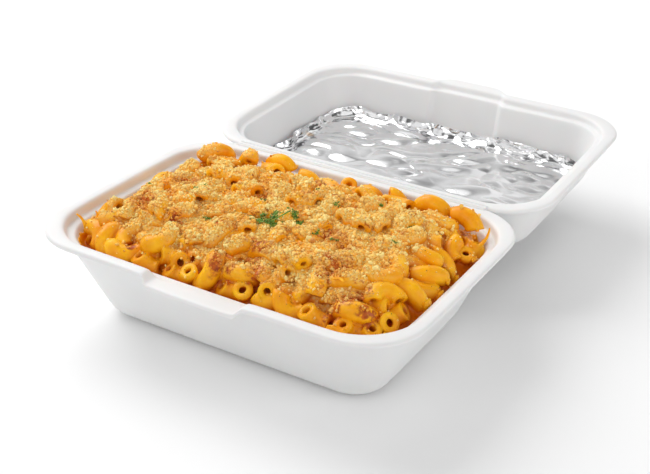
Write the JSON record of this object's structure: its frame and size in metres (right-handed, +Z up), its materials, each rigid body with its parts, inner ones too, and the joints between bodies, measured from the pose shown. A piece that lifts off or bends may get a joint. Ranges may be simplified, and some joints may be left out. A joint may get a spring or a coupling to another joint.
{
  "type": "baked mac and cheese in an open hinged foam takeaway box",
  "caption": "Heaped baked macaroni and cheese with toasted crumbs and parsley, in a hinged white foam takeaway box that stands open, its lid lined with foil.",
  "frame": {"origin": "middle of the tray's flat underside, which the part stands on", "axes": "+X along the hinge, to the right as seen from the front; +Y from the tray to the open lid; +Z up"},
  "size_m": [0.229, 0.3318, 0.0716],
  "materials": {
    "foam": "white expanded polystyrene foam, smooth skin with a soft sheen",
    "macaroni": "elbow macaroni in glossy cheese sauce, toasted crumbs and browned spots on top",
    "foil": "crumpled kitchen foil, bright and mirror-like between its wrinkles"
  },
  "bodies": {
    "base": {"tray": "foam", "mac_and_cheese": "macaroni"},
    "cover": {"lid": "foam", "foil_liner": "foil"}
  },
  "joints": [
    {"name": "lid_hinge", "type": "hinge", "parent": "base", "child": "cover", "pos_m": [0, 0.081, 0.05565], "axis": [1, 0, 0], "range_deg": [0, 178.4]}
  ]
}
